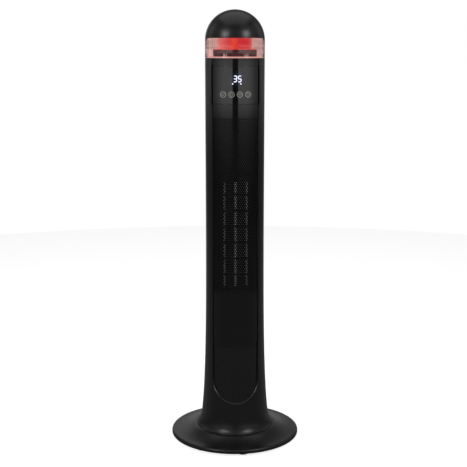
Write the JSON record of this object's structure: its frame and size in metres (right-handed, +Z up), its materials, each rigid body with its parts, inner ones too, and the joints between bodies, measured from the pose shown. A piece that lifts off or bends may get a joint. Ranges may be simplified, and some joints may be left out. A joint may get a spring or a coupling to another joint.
{
  "type": "ceramic heater",
  "caption": "Tower ceramic heater on a round base, with a long front grille, a touch panel, a red light ring and a gloss dome; it swivels.",
  "frame": {"origin": "centre of the base, on the floor under the feet", "axes": "+Z up the tower, -Y towards the front with the grille, +X to the right seen from the front"},
  "size_m": [0.277, 0.277, 0.918],
  "materials": {
    "body_black": "satin",
    "gloss_black": "gloss",
    "grille_black": "gloss",
    "touch_glass": "high gloss",
    "inner_black": "matt",
    "clear_plastic": "clear",
    "red_light": "translucent",
    "rubber": "matt",
    "steel": "plain",
    "ballast_iron": "rough",
    "aluminium": "plain",
    "bronze": "sintered",
    "white_plastic": "matt",
    "board_green": "satin",
    "relay_blue": "satin",
    "filter_grey": "mesh"
  },
  "bodies": {
    "base": {"base_cover": "body_black", "base_plate": "inner_black", "ballast_ring": "ballast_iron", "rubber_feet": "rubber", "cord_gland": "rubber", "base_screws": "steel", "tip_switch_housing": "inner_black", "thrust_ring": "white_plastic", "swivel_gear": "white_plastic", "gear_screws": "steel"},
    "tower": {"tower_plate": "inner_black", "tower_screws": "steel", "swivel_motor": "steel", "tower_shell": "body_black", "front_chassis": "body_black", "lower_panel": "gloss_black", "front_grille": "grille_black", "display_bezel": "gloss_black", "control_panel": "touch_glass", "display_board": "board_green", "digit_module": "inner_black", "touch_pads": "steel", "fan_duct": "inner_black", "fan_motor": "steel", "top_bush": "bronze", "heater_frame": "white_plastic", "heater_bars": "aluminium", "heater_fins": "aluminium", "heater_guard": "inner_black", "thermal_cutout": "steel", "power_board": "board_green", "power_board_parts": "relay_blue", "rear_grille": "body_black", "dust_filter": "filter_grey", "rear_screws": "steel", "rocker_housing": "inner_black", "ring_plinth": "gloss_black", "clear_ring": "clear_plastic", "light_core": "red_light", "led_board": "board_green", "dome_cap": "gloss_black", "dome_plate": "inner_black", "dome_screw": "steel"},
    "plunger": {"tip_switch_plunger": "white_plastic"},
    "pinion": {"drive_pinion": "white_plastic"},
    "rotor": {"fan_rotor": "inner_black", "fan_shaft": "steel"},
    "rocker": {"rocker_button": "gloss_black"}
  },
  "joints": [
    {"name": "tower_swivel", "type": "hinge", "parent": "base", "child": "tower", "pos_m": [0, 0, 0.0285], "axis": [0, 0, 1], "range_deg": [-35, 35]},
    {"name": "pinion_spin", "type": "hinge", "parent": "tower", "child": "pinion", "pos_m": [0, 0.039, 0.035], "axis": [0, 0, 1], "range_deg": [-118, 118]},
    {"name": "fan_spin", "type": "hinge", "parent": "tower", "child": "rotor", "pos_m": [0, 0.009, 0.45], "axis": [0, 0, 1], "continuous": true},
    {"name": "rocker_tilt", "type": "hinge", "parent": "tower", "child": "rocker", "pos_m": [0, 0.06468, 0.148], "axis": [1, 0, 0], "range_deg": [0, 16]},
    {"name": "plunger_drop", "type": "slide", "parent": "base", "child": "plunger", "axis": [0, 0, -1], "range_m": [0, 0.003], "stiffness_N_per_m": 25, "springref_m": 0.003}
  ],
  "couplings": [
    {"joint": "pinion_spin", "follows": "tower_swivel", "ratio": 3.3333}
  ]
}
